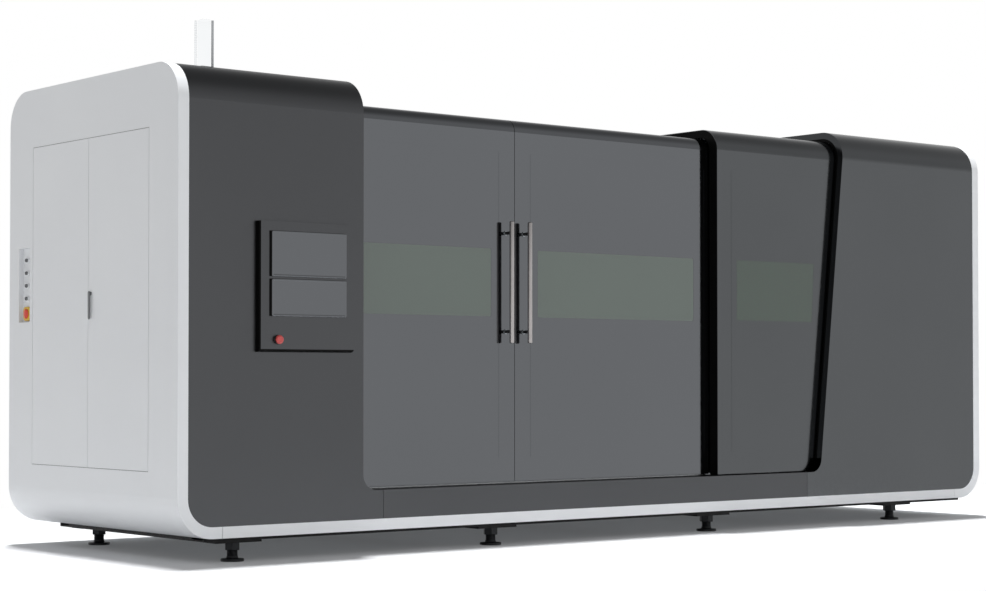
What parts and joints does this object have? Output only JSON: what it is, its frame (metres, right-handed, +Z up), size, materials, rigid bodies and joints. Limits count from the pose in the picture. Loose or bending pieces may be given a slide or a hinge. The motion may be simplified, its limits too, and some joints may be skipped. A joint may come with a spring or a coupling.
{
  "type": "laser cladding machine",
  "caption": "Enclosed laser cladding machine for shafts: sliding doors with tinted windows, control box, spindle with chuck, tailstock and a travelling cladding head.",
  "frame": {"origin": "middle of the object's box, on the floor under the foot pads", "axes": "+X along the machine from the control cabinet to the tailstock end, +Y from the operator's side to the rear, +Z up"},
  "size_m": [5.514, 1.65, 2.428],
  "materials": {
    "white_paint": "satin powder coat",
    "grey_paint": "gloss metallic paint",
    "door_paint": "gloss metallic paint",
    "black_paint": "satin black paint",
    "feet_steel": "black oxide",
    "bare_sheet": "mill finish",
    "rail_steel": "ground",
    "post_plastic": "black",
    "tinted_pane": "green laser-safe pane",
    "clear_lens": "clear",
    "tray_plastic": "moulded",
    "yellow_plastic": "moulded",
    "red_plastic": "moulded",
    "source_case": "textured paint",
    "cast_bed": "painted casting",
    "motor_paint": "black paint",
    "head_alloy": "clear anodised",
    "nozzle_copper": "turned copper"
  },
  "bodies": {
    "machine": {"left_end_shell": "white_paint", "right_end_shell": "white_paint", "sills": "white_paint", "left_cover": "grey_paint", "right_cover": "grey_paint", "apron": "grey_paint", "middle_roof": "grey_paint", "rear_panels": "grey_paint", "window_panel": "grey_paint", "base_frame": "black_paint", "left_partition": "black_paint", "door_reveal": "black_paint", "slant_reveal": "black_paint", "door_sill": "black_paint", "door_beam": "black_paint", "control_box": "black_paint", "displays": "black_paint", "signal_lamp_base": "black_paint", "levelling_feet": "feet_steel", "floor_tray": "bare_sheet", "control_gear": "bare_sheet", "door_rails": "rail_steel", "bed_rails": "rail_steel", "connector_sockets": "post_plastic", "window_panel_pane": "tinted_pane", "signal_lamp_lens": "clear_lens", "switch_tray": "tray_plastic", "isolator_plate": "yellow_plastic", "laser_source": "source_case", "bed": "cast_bed", "headstock": "cast_bed", "spindle_motor": "motor_paint"},
    "left_sliding_door": {"left_door": "door_paint", "left_door_pane": "tinted_pane", "left_door_handle": "rail_steel", "left_door_posts": "post_plastic", "left_door_hangers": "rail_steel"},
    "right_sliding_door": {"right_door": "door_paint", "right_door_pane": "tinted_pane", "right_door_handle": "rail_steel", "right_door_posts": "post_plastic", "right_door_hangers": "rail_steel"},
    "front_side_door": {"side_door_front": "white_paint"},
    "rear_side_door": {"side_door_rear": "white_paint"},
    "side_lever": {"side_door_lever": "post_plastic"},
    "isolator": {"isolator_knob": "red_plastic"},
    "emergency_stop": {"stop_button": "red_plastic"},
    "spindle": {"chuck": "rail_steel"},
    "jaw_1": {"chuck_jaw_1": "rail_steel"},
    "jaw_2": {"chuck_jaw_2": "rail_steel"},
    "jaw_3": {"chuck_jaw_3": "rail_steel"},
    "tailstock_body": {"tailstock": "cast_bed"},
    "tail_quill": {"quill": "rail_steel"},
    "turning_centre": {"live_centre": "rail_steel"},
    "x_carriage": {"carriage": "cast_bed", "powder_hopper": "head_alloy"},
    "y_slide": {"cross_slide": "cast_bed"},
    "z_slide": {"head_slide": "cast_bed", "cladding_head": "head_alloy", "nozzle": "nozzle_copper"}
  },
  "joints": [
    {"name": "left_door_slide", "type": "slide", "parent": "machine", "child": "left_sliding_door", "axis": [1, 0, 0], "range_m": [-0.85, 0]},
    {"name": "right_door_slide", "type": "slide", "parent": "machine", "child": "right_sliding_door", "axis": [1, 0, 0], "range_m": [0, 1.2]},
    {"name": "front_side_door_swing", "type": "hinge", "parent": "machine", "child": "front_side_door", "pos_m": [-2.7365, -0.512, 1.165], "axis": [0, 0, 1], "range_deg": [0, 110]},
    {"name": "rear_side_door_swing", "type": "hinge", "parent": "machine", "child": "rear_side_door", "pos_m": [-2.7365, 0.57, 1.165], "axis": [0, 0, -1], "range_deg": [0, 110]},
    {"name": "side_lever_turn", "type": "hinge", "parent": "front_side_door", "child": "side_lever", "pos_m": [-2.743, 0.0035, 1.206], "axis": [-1, 0, 0], "range_deg": [0, 90]},
    {"name": "isolator_turn", "type": "hinge", "parent": "machine", "child": "isolator", "pos_m": [-2.72, 0.669, 1.128], "axis": [1, 0, 0], "range_deg": [0, 90]},
    {"name": "emergency_stop_push", "type": "slide", "parent": "machine", "child": "emergency_stop", "axis": [0, 1, 0], "range_m": [0, 0.005], "stiffness_N_per_m": 1500, "springref_m": -0.002},
    {"name": "spindle_spin", "type": "hinge", "parent": "machine", "child": "spindle", "pos_m": [-1.211, -0.075, 1], "axis": [1, 0, 0], "continuous": true},
    {"name": "jaw_1_slide", "type": "slide", "parent": "spindle", "child": "jaw_1", "axis": [0, 0, 1], "range_m": [-0.03, 0.02]},
    {"name": "jaw_2_slide", "type": "slide", "parent": "spindle", "child": "jaw_2", "axis": [0, 0.866, -0.5], "range_m": [-0.03, 0.02]},
    {"name": "jaw_3_slide", "type": "slide", "parent": "spindle", "child": "jaw_3", "axis": [0, -0.866, -0.5], "range_m": [-0.03, 0.02]},
    {"name": "tailstock_slide", "type": "slide", "parent": "machine", "child": "tailstock_body", "axis": [1, 0, 0], "range_m": [-1.5, 0]},
    {"name": "quill_slide", "type": "slide", "parent": "tailstock_body", "child": "tail_quill", "axis": [1, 0, 0], "range_m": [-0.12, 0]},
    {"name": "live_centre_spin", "type": "hinge", "parent": "tail_quill", "child": "turning_centre", "pos_m": [1.969, -0.075, 1], "axis": [1, 0, 0], "continuous": true},
    {"name": "carriage_travel", "type": "slide", "parent": "machine", "child": "x_carriage", "axis": [1, 0, 0], "range_m": [-0.7, 1.8]},
    {"name": "cross_travel", "type": "slide", "parent": "x_carriage", "child": "y_slide", "axis": [0, 1, 0], "range_m": [-0.1, 0.1]},
    {"name": "head_travel", "type": "slide", "parent": "y_slide", "child": "z_slide", "axis": [0, 0, 1], "range_m": [-0.235, 0]}
  ],
  "couplings": [
    {"joint": "jaw_2_slide", "follows": "jaw_1_slide", "ratio": 1},
    {"joint": "jaw_3_slide", "follows": "jaw_1_slide", "ratio": 1}
  ]
}
